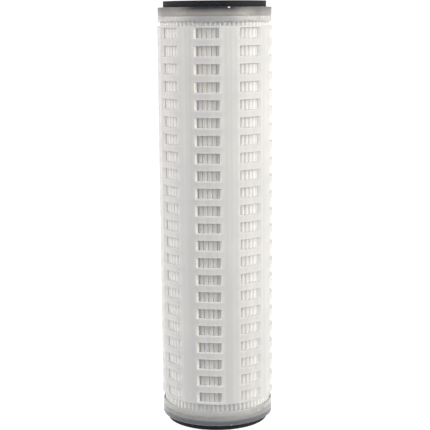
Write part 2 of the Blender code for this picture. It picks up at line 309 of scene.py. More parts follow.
fleeceLook = {
    "tip": (0.81, 0.805, 0.80), "shadedTip": (0.595, 0.63, 0.71), "fold": (0.91, 0.90, 0.88),
    "shadedFold": (0.90, 0.82, 0.625), "foldFrom": 0.25 * mm, "foldTo": 0.60 * mm,
    "soakedShadedTip": (0.71, 0.70, 0.69), "soakedFrontBackShadedTip": (0.45, 0.465, 0.495),
    "soakedFold": (0.90, 0.89, 0.87), "soakedGlow": 0.03, "soakedFoldGlow": 0.08,
    "sideFoldGlow": 0.16, "soakShadeFrom": 10.0 * mm, "soakShadeTo": 14.5 * mm, "soakShadeAmount": 0.9,
    "fibre": (0.80, 0.82, 0.86), "fibreScale": 1400.0, "fibreStretch": 0.25, "patchScale": 240.0,
    "roughness": (0.72, 0.9), "frontBackShadeRange": (0.1, 0.85), "patchRange": (0.35, 0.7),
    "patchAmount": 0.25, "fibreRange": (0.45, 0.75), "fibreAmount": 0.3, "sheen": 0.25,
    "sheenRoughness": 0.6, "specular": 0.25, "patchBump": (0.3, 0.15 * mm),
    "fibreBump": (0.5, 0.08 * mm),
}
mediaLook = dict(fleeceLook, tip=(0.85, 0.84, 0.80))
drainLook = dict(fleeceLook, fold=(0.80, 0.81, 0.84))


def fleeceFabric(name, look, tipRadius):
    material, tree, shader = newMaterial(name)
    coords = objectCoords(tree)
    fibreCoords = objectCoords(tree, (1.0, 1.0, look["fibreStretch"]))
    outward = vectorLength(tree, objectCoords(tree, (1.0, 1.0, 0.0)))
    onTip = spread(tree, outward, tipRadius - look["foldTo"], tipRadius - look["foldFrom"])
    patches = cloud(tree, coords, look["patchScale"], 3.0)
    fibres = cloud(tree, fibreCoords, look["fibreScale"], 4.0, 0.65)
    # painted shade by turn from the front: full at the front and back, none at the sides
    doubled = calc(tree, "MULTIPLY", turnAngle(tree, coords), 2.0)
    frontBackShade = spread(tree, calc(tree, "COSINE", doubled), *look["frontBackShadeRange"])
    fold = blendColours(tree, frontBackShade, look["fold"], look["shadedFold"])
    base = blendColours(tree, onTip, fold, blendColours(tree, frontBackShade, look["tip"], look["shadedTip"]))
    # the pack's ends are soaked in the caps' plastic; there the tips carry painted shade and the folds lose
    # their painted ochre
    depth = rimDepth(tree, coords)
    soakShade = spread(tree, depth, look["soakShadeFrom"], look["soakShadeTo"], look["soakShadeAmount"], 0.0)
    endTipShade = blendColours(tree, frontBackShade, look["soakedShadedTip"], look["soakedFrontBackShadedTip"])
    base = blendColours(tree, soakShade, base, blendColours(tree, onTip, look["soakedFold"], endTipShade))
    patchy = spread(tree, patches, *look["patchRange"], 0.0, look["patchAmount"])
    woolly = spread(tree, fibres, *look["fibreRange"], 0.0, look["fibreAmount"])
    colour = blendColours(tree, patchy, base, look["fibre"])
    colour = blendColours(tree, woolly, colour, look["fibre"])
    tree.links.new(colour, shader.inputs["Base Color"])
    # painted glow in the folds, standing in for light soaking through the fabric, most at the sides and in
    # the soaked ends, with a fainter painted glow over the soaked ends
    sideGlow = spread(tree, frontBackShade, 0.0, 1.0, look["sideFoldGlow"], 0.0)
    foldGlow = calc(tree, "ADD", sideGlow, calc(tree, "MULTIPLY", soakShade, look["soakedFoldGlow"]))
    glow = calc(tree, "MULTIPLY", foldGlow, calc(tree, "SUBTRACT", 1.0, onTip))
    glow = calc(tree, "ADD", glow, calc(tree, "MULTIPLY", soakShade, look["soakedGlow"]))
    tree.links.new(glow, shader.inputs["Emission Strength"])
    shader.inputs["Emission Color"].default_value = (*look["soakedShadedTip"], 1.0)
    tree.links.new(spread(tree, fibres, 0.3, 0.7, *look["roughness"]), shader.inputs["Roughness"])
    shader.inputs["Sheen Weight"].default_value = look["sheen"]
    shader.inputs["Sheen Roughness"].default_value = look["sheenRoughness"]
    shader.inputs["Specular IOR Level"].default_value = look["specular"]
    addBump(tree, shader, [(patches, *look["patchBump"]), (fibres, *look["fibreBump"])])
    return material


# foamed rubber: near black, with torn pores that catch the light

foamLook = {
    "skin": (0.004, 0.004, 0.006), "pore": (0.042, 0.042, 0.047), "poreScale": 1500.0,
    "tearScale": 620.0, "roughness": (0.45, 0.80), "tearStretch": 1.8, "tearRange": (0.42, 0.68),
    "poreRange": (0.2, 0.75), "broadScale": 120.0, "specular": 0.18, "tearBump": (0.9, 0.3 * mm),
    "poreBump": (0.5, 0.12 * mm),
}


def foamRubber(name, look):
    material, tree, shader = newMaterial(name)
    coords = objectCoords(tree)
    tearCoords = objectCoords(tree, (1.0, 1.0, look["tearStretch"]))
    pores = put(tree, "ShaderNodeTexVoronoi", {"Vector": coords, "Scale": look["poreScale"]}).outputs
    tears = cloud(tree, tearCoords, look["tearScale"], 6.0, 0.7)
    broad = cloud(tree, coords, look["broadScale"], 2.0)
    openPores = spread(tree, pores["Distance"], *look["poreRange"], 0.25, 1.0)
    torn = spread(tree, tears, *look["tearRange"])
    uneven = product(tree, torn, openPores, spread(tree, broad, 0.3, 0.7, 0.6, 1.2))
    tree.links.new(blendColours(tree, uneven, look["skin"], look["pore"]), shader.inputs["Base Color"])
    tree.links.new(spread(tree, tears, 0.3, 0.7, *look["roughness"]), shader.inputs["Roughness"])
    shader.inputs["Specular IOR Level"].default_value = look["specular"]
    addBump(tree, shader, [(tears, *look["tearBump"]), (pores["Distance"], *look["poreBump"])])
    return material


# shared mesh work

def joinRows(shape, rows, closed):
    # quads between each row of points and the next; a closed row runs round to its start
    for near, far in zip(rows, rows[1:]):
        for i in range(len(near) if closed else len(near) - 1):
            k = (i + 1) % len(near)
            shape.faces.new((near[i], near[k], far[k], far[i]))


def toMesh(shape, name):
    mesh = bpy.data.meshes.new(name)
    shape.to_mesh(mesh)
    shape.free()
    return mesh


def smoothBelow(mesh, degrees):
    mesh.shade_smooth()
    mesh.set_sharp_from_angle(angle=math.radians(degrees))


def outerRadius(node):
    low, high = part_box(node)
    return max(high.x - low.x, high.y - low.y) / 2


# geometry trees take a mesh, numbers and a material, and give the finished mesh

def newTree(name, counts, numbers):
    tree = bpy.data.node_groups.new(name, "GeometryNodeTree")
    sockets = [("Geometry", "Geometry")] + [(label, "Int") for label in counts]
    sockets += [(label, "Float") for label in numbers] + [("Material", "Material")]
    for label, kind in sockets:
        tree.interface.new_socket(label, in_out="INPUT", socket_type="NodeSocket" + kind)
    tree.interface.new_socket("Geometry", in_out="OUTPUT", socket_type="NodeSocketGeometry")
    return tree, put(tree, "NodeGroupInput").outputs


def endTree(tree, geometry, material):
    coloured = put(tree, "GeometryNodeSetMaterial", {"Geometry": geometry, "Material": material})
    put(tree, "NodeGroupOutput", {"Geometry": coloured.outputs[0]})
    return tree


def position(tree):
    return put(tree, "GeometryNodeInputPosition").outputs[0]


def moved(tree, geometry, **places):
    return put(tree, "GeometryNodeSetPosition", {"Geometry": geometry, **places}).outputs[0]


def realized(tree, instances):
    return put(tree, "GeometryNodeRealizeInstances", {0: instances}).outputs[0]


def merged(tree, geometry, distance):
    return put(tree, "GeometryNodeMergeByDistance", {"Geometry": geometry, "Distance": distance}).outputs[0]


# a sheet of windows rolled into a tube; the cage and the core are both made with it

def loopPoints(halfWidth, halfHeight, across, upwards, corner):
    # round the edge from the lower left, three points to a corner; corner gives each corner's three places
    points = []
    flatX, flatZ = halfWidth - corner["inX"], halfHeight - corner["inZ"]
    for side in range(4):
        horizontal = side % 2 == 0
        sign = 1 if side < 2 else -1
        count = across if horizontal else upwards
        for step in range(count + 1):
            along = (2 * step / count - 1) * sign
            if horizontal:
                points.append((along * flatX, -sign * halfHeight))
            else:
                points.append((sign * halfWidth, along * flatZ))
        cornerX = (halfWidth - corner["cut"]) * (1 if side in (0, 1) else -1)
        cornerZ = (halfHeight - corner["cut"]) * (1 if side in (1, 2) else -1)
        points.append((cornerX, cornerZ))
    return points


def windowCell(name, look, cellWidth):
    across, upwards = look["facetsAcross"], look["facetsUp"]
    width, height = look["windowWidth"] / 2, look["windowHeight"] / 2
    radius = look["cornerRadius"]
    edge = look["edgeRound"]
    rounded = {"inX": radius, "inZ": radius, "cut": radius * look["cornerCut"]}
    stave, band = look["staveFacet"] * (cellWidth / 2), look["rowPitch"] / 2 * look["bandFacet"]
    square = {"inX": stave, "inZ": band, "cut": 0.0}
    border = loopPoints(cellWidth / 2, look["rowPitch"] / 2, across, upwards, square)
    outer = loopPoints(width, height, across, upwards, rounded)
    grown = loopPoints(width + edge, height + edge, across, upwards, rounded)
    innerWidth, innerHeight = width - look["sideDraft"], height - look["sillDraft"]
    inner = loopPoints(innerWidth, innerHeight, across, upwards, rounded)
    innerGrown = loopPoints(innerWidth + edge, innerHeight + edge, across, upwards, rounded)
    lean = look["middleLean"]
    middle = []
    for a, b in zip(border, grown):
        middle.append(((a[0] + lean * b[0]) / (1 + lean), (a[1] + lean * b[1]) / (1 + lean)))
    wall = look["wall"]
    # each ring of the cell: its outline, its depth in the wall, and how far it counts as a cut edge
    rings = [
        (border, 0.0, 0.0), (middle, 0.0, 0.0), (grown, 0.0, 0.15), (outer, edge, 1.0),
        (inner, wall - edge, 1.0), (innerGrown, wall, 0.5), (border, wall, 0.0),
    ]
    cell = bmesh.new()
    cutEdge = cell.verts.layers.float.new("cutEdge")
    loops = []
    for points, depth, share in rings:
        loops.append([cell.verts.new((x, depth, z)) for x, z in points])
        for vert in loops[-1]:
            vert[cutEdge] = share
    joinRows(cell, loops, True)
    return toMesh(cell, name)


def rolledTubeTree():
    numbers = ["Row Pitch", "Radius", "Lowest Sill", "Highest Head", "End Squeeze", "Turn", "Twist"]
    tree, start = newTree("rolledTube", ["Columns", "Rows"], numbers)
    sill, head = start["Lowest Sill"], start["Highest Head"]
    cellWidth = calc(tree, "MULTIPLY", calc(tree, "DIVIDE", tau, start["Columns"]), start["Radius"])
    grid = put(tree, "GeometryNodeMeshGrid", {
        "Size X": calc(tree, "MULTIPLY", cellWidth, calc(tree, "SUBTRACT", start["Columns"], 1.0)),
        "Size Y": calc(tree, "MULTIPLY", start["Row Pitch"], calc(tree, "SUBTRACT", start["Rows"], 1.0)),
        "Vertices X": start["Columns"], "Vertices Y": start["Rows"],
    })
    flat = apart(tree, position(tree))
    middle = calc(tree, "MULTIPLY", calc(tree, "ADD", sill, head), 0.5)
    raised = calc(tree, "ADD", flat["Y"], middle)
    upright = put(tree, "ShaderNodeCombineXYZ", {"X": flat["X"], "Z": raised}).outputs[0]
    standing = moved(tree, grid.outputs[0], Position=upright)
    cells = put(tree, "GeometryNodeInstanceOnPoints", {"Points": standing, "Instance": start["Geometry"]})
    sheet = realized(tree, cells.outputs[0])
    place = apart(tree, position(tree))
    # the end bands are lower than the bands between rows
    above = calc(tree, "MAXIMUM", calc(tree, "SUBTRACT", place["Z"], head), 0.0)
    below = calc(tree, "MAXIMUM", calc(tree, "SUBTRACT", sill, place["Z"]), 0.0)
    kept = calc(tree, "SUBTRACT", 1.0, start["End Squeeze"])
    pulled = calc(tree, "MULTIPLY", calc(tree, "SUBTRACT", below, above), kept)
    height = calc(tree, "ADD", place["Z"], pulled)
    aboveMiddle, span = calc(tree, "SUBTRACT", place["Z"], middle), calc(tree, "SUBTRACT", head, sill)
    share = calc(tree, "DIVIDE", aboveMiddle, span)
    angle = calc(tree, "ADD", calc(tree, "DIVIDE", place["X"], start["Radius"]), start["Turn"])
    angle = calc(tree, "ADD", angle, calc(tree, "MULTIPLY", share, start["Twist"]))
    out = calc(tree, "SUBTRACT", start["Radius"], place["Y"])
    rolled = put(tree, "ShaderNodeCombineXYZ", {
        "X": calc(tree, "MULTIPLY", out, calc(tree, "SINE", angle)),
        "Y": product(tree, out, calc(tree, "COSINE", angle), -1.0),
        "Z": height,
    })
    tube = moved(tree, sheet, Position=rolled.outputs[0])
    return endTree(tree, merged(tree, tube, 0.02 * mm), start["Material"])


def runTree(name, mesh, tree, values):
    # gives the mesh that the tree makes, with no modifier left
    carrier = bpy.data.objects.new(name + "Carrier", mesh)
    bpy.context.scene.collection.objects.link(carrier)
    modifier = carrier.modifiers.new("grow", "NODES")
    modifier.node_group = tree
    for item in tree.interface.items_tree:
        if item.item_type == "SOCKET" and item.in_out == "INPUT" and item.name in values:
            modifier[item.identifier] = values[item.name]
    graph = bpy.context.evaluated_depsgraph_get()
    grown = bpy.data.meshes.new_from_object(carrier.evaluated_get(graph))
    bpy.data.objects.remove(carrier)
    grown.name = name
    return grown


def addPiece(name, mesh, node):
    piece = bpy.data.objects.new(name, mesh)
    bpy.context.scene.collection.objects.link(piece)
    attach(piece, "root")
    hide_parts(node)
    return piece


def closeEnds(mesh, middle):
    # joins the outer and inner edge of the tube's wall at each end
    shape = bmesh.new()
    shape.from_mesh(mesh)
    for sign in (-1, 1):
        rim = [e for e in shape.edges if e.is_boundary and (e.verts[0].co.z - middle) * sign > 0]
        bmesh.ops.bridge_loops(shape, edges=rim)
    bmesh.ops.recalc_face_normals(shape, faces=shape.faces)
    shape.to_mesh(mesh)
    shape.free()


def punchedTube(name, look, material, tree):
    low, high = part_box(name)
    radius = outerRadius(name)
    cellWidth = tau * radius / look["columns"]
    band = look["rowPitch"] - look["windowHeight"]
    windowSpan = look["rows"] * look["rowPitch"] - band
    middle = (low.z + high.z) / 2
    sill, head = middle - windowSpan / 2, middle + windowSpan / 2
    turn = math.radians(look["frontTurn"]) + tau / look["columns"] / 2
    values = {
        "Columns": look["columns"], "Rows": look["rows"], "Row Pitch": look["rowPitch"], "Radius": radius,
        "Lowest Sill": sill, "Highest Head": head, "End Squeeze": (sill - low.z) / (band / 2),
        "Turn": turn, "Twist": math.radians(look["twist"]), "Material": material,
    }
    mesh = runTree(name, windowCell(name + "Cell", look, cellWidth), tree, values)
    closeEnds(mesh, middle)
    smoothBelow(mesh, 30)
    return addPiece(name, mesh, name)


cageShape = {
    "columns": 8, "rows": 22, "frontTurn": -7.6, "twist": 0.0, "windowWidth": 15.45 * mm,
    "windowHeight": 6.2 * mm, "rowPitch": 10.215 * mm, "wall": 1.65 * mm, "sideDraft": 0.75 * mm,
    "sillDraft": 0.35 * mm, "cornerRadius": 0.45 * mm, "edgeRound": 0.12 * mm, "facetsAcross": 7,
    "facetsUp": 2, "staveFacet": 0.30, "bandFacet": 0.25, "cornerCut": 0.29, "middleLean": 1.4,
}
coreShape = dict(
    cageShape, rows=13, frontTurn=0.0, windowWidth=8.15 * mm, windowHeight=10.0 * mm,
    rowPitch=17.0 * mm, wall=2.0 * mm, sideDraft=0.5 * mm, sillDraft=0.5 * mm,
    cornerRadius=1.6 * mm, edgeRound=0.2 * mm, facetsAcross=4, facetsUp=3,
)


# the pleated sheets: one pleat, repeated round the axis, then let wander a little

pleatShape = {
    "pleats": 72, "levels": 30, "firstTip": -6.2, "tipClearance": 0.12 * mm, "tipHalf": 0.78 * mm,
    "tipDrop": 0.40 * mm, "grooveDepth": 0.75 * mm, "pinch": 0.24 * mm, "valleyHalf": 0.34 * mm,
    "valleyRise": 0.36 * mm, "wanderSize": 0.22 * mm, "wanderScale": 55.0, "bendSize": 0.35 * mm,
    "bendScale": 14.0, "wanderRadius": 0.03,
    "waves": (("Wander Size", "Wander Scale", 3.1), ("Bend Size", "Bend Scale", 8.7)),
    "tipPower": 2.6, "layerStep": 0.16 * mm, "layerThickness": 0.1 * mm,
    "coreClearance": 0.6 * mm,
}


def pleatProfile(tipRadius, valleyRadius, shape, offset):
    # half a pleat, from the tip's middle to the valley's middle, moved off the middle sheet by offset
    halfTurn = math.pi / shape["pleats"]
    half = []
    for share in (0.0, 0.34, 0.66, 0.88, 1.0):
        drop = shape["tipDrop"] * (1 - math.sqrt(1 - share ** shape["tipPower"]))
        half.append((tipRadius - drop, shape["tipHalf"] * share))
    low = valleyRadius + shape["valleyRise"]
    # below its tip a pleat swells until it all but touches the next one
    belly = tipRadius - shape["grooveDepth"]
    start = Vector((belly, belly * math.tan(halfTurn) - shape["pinch"]))
    finish = Vector((low, low * math.tan(halfTurn) - shape["valleyHalf"]))
    half += [tuple(start.lerp(finish, share)) for share in (0.0, 0.3, 0.65, 1.0)]
    for share in (0.75, 0.35, 0.0):
        out = valleyRadius + shape["valleyRise"] * (1 - math.sqrt(1 - share ** 2))
        half.append((out, out * math.tan(halfTurn) - shape["valleyHalf"] * share))
    moved = []
    for i, (out, aside) in enumerate(half):
        before, after = Vector(half[max(i - 1, 0)]), Vector(half[min(i + 1, len(half) - 1)])
        along = (after - before).normalized()
        if i == 0:
            along = Vector((0.0, 1.0))
        if i == len(half) - 1:
            along = Vector((-math.sin(halfTurn), math.cos(halfTurn)))
        moved.append((out + along.y * offset, aside - along.x * offset))
    return [(out, -aside) for out, aside in moved[:0:-1]] + moved


def pleatStrip(name, profile, bottom, top, levels):
    strip = bmesh.new()
    rows = []
    for level in range(levels + 1):
        height = bottom + (top - bottom) * level / levels
        rows.append([strip.verts.new((aside, -out, height)) for out, aside in profile])
    joinRows(strip, rows, False)
    return toMesh(strip, name)


def pleatedTree():
    numbers = ["First Tip", "Seam Turn", "Seam Room"]
    numbers += [label for size, scale, seed in pleatShape["waves"] for label in (size, scale)]
    tree, start = newTree("pleatedSheet", ["Pleats"], numbers)
    line = put(tree, "GeometryNodeMeshLine", {"Count": start["Pleats"], "Offset": (0.0, 0.0, 0.0)})
    step = calc(tree, "DIVIDE", tau, start["Pleats"])
    turn = calc(tree, "MULTIPLY", put(tree, "GeometryNodeInputIndex").outputs[0], step)
    euler = put(tree, "ShaderNodeCombineXYZ", {"Z": calc(tree, "ADD", turn, start["First Tip"])})
    rotation = put(tree, "FunctionNodeEulerToRotation", {0: euler.outputs[0]})
    pleats = put(tree, "GeometryNodeInstanceOnPoints", {
        "Points": line.outputs[0], "Instance": start["Geometry"], "Rotation": rotation.outputs[0],
    })
    joined = merged(tree, realized(tree, pleats.outputs[0]), 0.01 * mm)
    opened = moved(tree, joined, Offset=seamPush(tree, start))
    wandering = moved(tree, opened, Offset=foldWander(tree, start))
    return endTree(tree, wandering, start["Material"])


def seamPush(tree, start):
    # the fold that holds the side seam stands open by about the seam's thickness
    spot = apart(tree, position(tree))
    sine, cosine = calc(tree, "SINE", start["Seam Turn"]), calc(tree, "COSINE", start["Seam Turn"])
    offX, offY = calc(tree, "MULTIPLY", spot["X"], cosine), calc(tree, "MULTIPLY", spot["Y"], sine)
    outX, outY = calc(tree, "MULTIPLY", spot["X"], sine), calc(tree, "MULTIPLY", spot["Y"], cosine)
    off = calc(tree, "ADD", offX, offY)
    nearSeam = spread(tree, calc(tree, "ABSOLUTE", off), 0.0, seamShape["roomReach"], 1.0, 0.0)
    farOut = spread(tree, calc(tree, "SUBTRACT", outX, outY), seamShape["roomFrom"], seamShape["roomTo"])
    push = product(tree, calc(tree, "SIGN", off), start["Seam Room"], nearSeam, farOut)
    return put(tree, "ShaderNodeCombineXYZ", {
        "X": calc(tree, "MULTIPLY", push, cosine), "Y": calc(tree, "MULTIPLY", push, sine),
    }).outputs[0]


def foldWander(tree, start):
    # each fold wanders round the axis: a short wave down its height and a long one
    here = position(tree)
    flat = vectorCalc(tree, "MULTIPLY", here, (1.0, 1.0, 0.0))
    outward = put(tree, "ShaderNodeVectorMath", {0: flat}, operation="NORMALIZE").outputs[0]
    aside = vectorCalc(tree, "CROSS_PRODUCT", outward, (0.0, 0.0, 1.0))
    onWall = vectorCalc(tree, "MULTIPLY", outward, [pleatShape["wanderRadius"]] * 3)
    where = vectorCalc(tree, "ADD", onWall, vectorCalc(tree, "MULTIPLY", here, (0.0, 0.0, 1.0)))
    total = 0.0
    for size, scale, seed in pleatShape["waves"]:
        inputs = {"Vector": where, "W": seed, "Scale": start[scale], "Detail": 1.0}
        wave = put(tree, "ShaderNodeTexNoise", inputs, noise_dimensions="4D").outputs["Fac"]
        amount = product(tree, calc(tree, "SUBTRACT", wave, 0.5), 2.0, start[size])
        total = calc(tree, "ADD", total, amount)
    return put(tree, "ShaderNodeVectorMath", {0: aside, 3: total}, operation="SCALE").outputs[0]


def cageInside():
    low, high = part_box("outer_cage")
    return (high.x - low.x) / 2 - cageShape["wall"]


def seamGap():
    # the gap between pleats that lies nearest the seam, as a turn from the front
    low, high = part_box("side_seam")
    turn = math.atan2(low.x + high.x, -low.y - high.y)
    step = tau / pleatShape["pleats"]
    firstGap = math.radians(pleatShape["firstTip"]) + step / 2
    return firstGap + step * round((turn - firstGap) / step)


def pleatValues(material):
    return {
        "Pleats": pleatShape["pleats"], "First Tip": math.radians(pleatShape["firstTip"]),
        "Seam Turn": seamGap(), "Seam Room": seamShape["room"],
        "Wander Size": pleatShape["wanderSize"], "Wander Scale": pleatShape["wanderScale"],
        "Bend Size": pleatShape["bendSize"], "Bend Scale": pleatShape["bendScale"], "Material": material,
    }


def pleatedLayer(name, side, material, tree):
    # side is 1 for the outermost sheet, 0 for the middle one and -1 for the innermost
    shape = pleatShape
    low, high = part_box("upstream_support")
    packHalf = shape["layerStep"] + shape["layerThickness"]
    tipRadius = cageInside() - shape["tipClearance"] - packHalf
    valleyRadius = outerRadius("inner_core") + shape["coreClearance"] + packHalf
    profile = pleatProfile(tipRadius, valleyRadius, shape, side * shape["layerStep"])
    mesh = pleatStrip(name + "Strip", profile, low.z, high.z, shape["levels"])
    sheet = bpy.data.objects.new(name + "Sheet", runTree(name, mesh, tree, pleatValues(material)))
    bpy.context.scene.collection.objects.link(sheet)
    body = sheet.modifiers.new("thickness", "SOLIDIFY")
    body.thickness = shape["layerThickness"]
    body.offset = 0.0
    body.use_even_offset = True
    graph = bpy.context.evaluated_depsgraph_get()
    solid = bpy.data.meshes.new_from_object(sheet.evaluated_get(graph))
    bpy.data.objects.remove(sheet)
    solid.name = name
    smoothBelow(solid, 60)
    return addPiece(name, solid, name)


# turned pieces: a closed profile of (radius, depth, kind) points, with noise round the axis

def wobble(angle, height, scale, seed):
    spot = Vector((math.sin(angle), math.cos(angle), height * 40.0)) * scale
    return noise.noise(spot + Vector((seed, seed * 0.7, seed * 1.3)))


def turnedMesh(name, profile, steps, face, direction, place):
    # place(radius, depth, kind, angle) gives the point's real radius and depth
    shape = bmesh.new()
    rings = []
    for step in range(steps):
        angle = tau * step / steps
        ring = []
        for radius, depth, kind in profile:
            r, d = place(radius, depth, kind, angle)
            spot = (r * math.sin(angle), -r * math.cos(angle), face + direction * d)
            ring.append(shape.verts.new(spot))
        rings.append(ring)
    joinRows(shape, rings + rings[:1], True)
    bmesh.ops.recalc_face_normals(shape, faces=shape.faces)
    return toMesh(shape, name)


def waves(angle, height, seed, layers):
    return sum(wobble(angle, height, scale, seed + shift) * share for scale, shift, share in layers)


capShape = {
    "ringHeight": 5.2 * mm, "seatDepth": 3.0 * mm, "floorDepth": 5.0 * mm, "rimWidth": 2.9 * mm,
    "boreRadius": 14.0 * mm, "boreRim": 1.2 * mm, "collarWall": 1.0 * mm,
    "collarHeight": 9.0 * mm, "ringDraft": 0.12 * mm, "ringInset": 0.10 * mm,
    "edgeRound": 0.35 * mm, "notch": 0.30 * mm, "skirtWall": 0.95 * mm, "steps": 256,
    "topLip": 3.3 * mm, "bottomLip": 3.8 * mm, "flashRipple": 0.32 * mm, "flashSwell": 0.10 * mm,
    "swellWaves": ((9.0, 0.0, 1.0), (26.0, 5.0, 0.5)),
    "rippleWaves": ((6.0, 9.0, 1.0), (24.0, 3.0, 0.5)), "flashWidth": 1.4 * mm,
    "lipGap": 0.25 * mm, "lipInset": 0.12 * mm, "lipBevel": 0.25 * mm, "pocketBevel": 0.4 * mm,
    "collarBevel": 0.3 * mm, "seatBevel": 0.2 * mm, "boreBevel": 0.25 * mm, "tuckIn": 0.05 * mm,
    "tuckUp": 0.12 * mm,
}


def capProfile(radius, skirt, look):
    # kinds: 0 moulded, 1 weld flash, 2 the flash's free edge
    ring, floor, bore = look["ringHeight"], look["floorDepth"], look["boreRadius"]
    seatDepth, small, edge = look["seatDepth"], look["seatBevel"], look["boreBevel"]
    corner = look["edgeRound"]
    rim = radius - look["ringInset"]
    neck = rim - look["ringDraft"]
    points = [(rim - corner, 0.0, 0), (rim - corner * 0.3, corner * 0.3, 0), (rim, corner, 0)]
    for share in (0.33, 0.66, 1.0):
        points.append((rim - look["ringDraft"] * share, corner + (ring - 2 * corner) * share, 0))
    root = neck - look["notch"] * 0.6
    points += [
        (neck - look["tuckIn"], ring - look["tuckUp"], 0), (neck - look["notch"] * 0.7, ring, 0),
        (root, ring + look["lipGap"], 1),
    ]
    for share in (0.15, 0.35, 0.6, 0.8, 0.93):
        bulge = math.sin(math.pi * min(share * 1.05, 1.0)) ** 0.5
        out = root + (radius - look["lipInset"] - root) * bulge
        points.append((out, ring + (skirt - ring) * share, 2 if share > 0.5 else 1))
    inner, lip, pocket = radius - look["skirtWall"], look["lipBevel"], look["pocketBevel"]
    collar, collarEdge = bore + look["collarWall"], look["collarBevel"]
    end = floor + look["collarHeight"]
    seatIn, seatOut = bore + look["boreRim"], radius - look["rimWidth"]
    return points + [
        (inner + lip, skirt, 2), (inner, skirt - lip, 2),
        (inner, floor + pocket, 0), (inner - pocket, floor, 0),
        (collar, floor, 0), (collar, end - collarEdge, 0), (collar - collarEdge, end, 0),
        (bore + small, end, 0), (bore, end - small, 0), (bore, edge, 0), (bore + edge, 0.0, 0),
        (seatIn - small, 0.0, 0), (seatIn, small, 0), (seatIn, seatDepth, 0),
        (seatOut, seatDepth, 0), (seatOut, small, 0), (seatOut + small, 0.0, 0),
    ]


def endCap(name, seed, material, flashMaterial):
    look = capShape
    low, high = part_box(name)
    atBottom = name.startswith("bottom")
    face, direction = (low.z, 1) if atBottom else (high.z, -1)
    radius = (high.x - low.x) / 2
    skirt = look["ringHeight"] + look["bottomLip" if atBottom else "topLip"]

    def place(r, d, kind, angle):
        if kind == 0:
            return r, d
        swell = waves(angle, d, seed, look["swellWaves"]) * look["flashSwell"]
        ripple = 0.0
        if kind == 2:
            ripple = waves(angle, 0.0, seed, look["rippleWaves"]) * look["flashRipple"]
            ripple = min(ripple, 0.0) if d > skirt - 0.1 * mm else ripple
        return min(r + swell, radius), d + ripple

    mesh = turnedMesh(name, capProfile(radius, skirt, look), look["steps"], face, direction, place)
    mesh.materials.append(material)
    mesh.materials.append(flashMaterial)
    for polygon in mesh.polygons:
        depth = abs(polygon.center.z - face)
        outward = math.hypot(polygon.center.x, polygon.center.y)
        if depth > look["ringHeight"] and outward > radius - look["flashWidth"]:
            polygon.material_index = 1
    smoothBelow(mesh, 50)
    return addPiece(name, mesh, name)


gasketShape = {
    "steps": 420, "sideRows": 9, "faceRows": 10, "corner": 0.12 * mm, "pits": 0.06 * mm,
    "sag": 0.05 * mm, "seatGap": 0.3 * mm, "pitScale": 1300.0,
}


def gasket(name, seed, material):
    look = gasketShape
    low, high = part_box(name)
    outer = (high.x - low.x) / 2 - look["pits"]
    inner = capShape["boreRadius"] + capShape["boreRim"] + look["seatGap"] + look["pits"]
    thick = high.z - low.z
    corner = look["corner"]
    sideRows, faceRows = look["sideRows"], look["faceRows"]
    sideStep, faceStep = (thick - 2 * corner) / sideRows, (outer - inner - 2 * corner) / faceRows
    profile = [(outer - corner, thick, 1)]
    profile += [(outer, thick - corner - sideStep * i, 1) for i in range(sideRows + 1)]
    profile += [(outer - corner - faceStep * i, 0.0, 2) for i in range(faceRows + 1)]
    profile += [(inner, corner, 1), (inner, thick - corner, 1)]
    profile += [(inner + corner + faceStep * i, thick, 2) for i in range(faceRows)]

    def place(r, d, kind, angle):
        spot = Vector((r * math.sin(angle), r * math.cos(angle), d)) * look["pitScale"]
        pit = noise.noise(spot + Vector((seed, 0, 0)))
        if kind == 1:
            return r + pit * look["pits"], d
        sink = (abs(pit) * 0.5 + 0.3) * look["sag"]
        return r, d + (sink if d < thick / 2 else -sink)

    mesh = turnedMesh(name, profile, look["steps"], low.z, 1, place)
    mesh.materials.append(material)
    smoothBelow(mesh, 50)
    return addPiece(name, mesh, name)


seamShape = {
    "across": 6, "thickness": 0.20 * mm, "dent": 0.04 * mm, "cuts": 5, "room": 0.13 * mm,
    "roomReach": 1.2 * mm, "roomFrom": 24.0 * mm, "roomTo": 26.0 * mm,
}


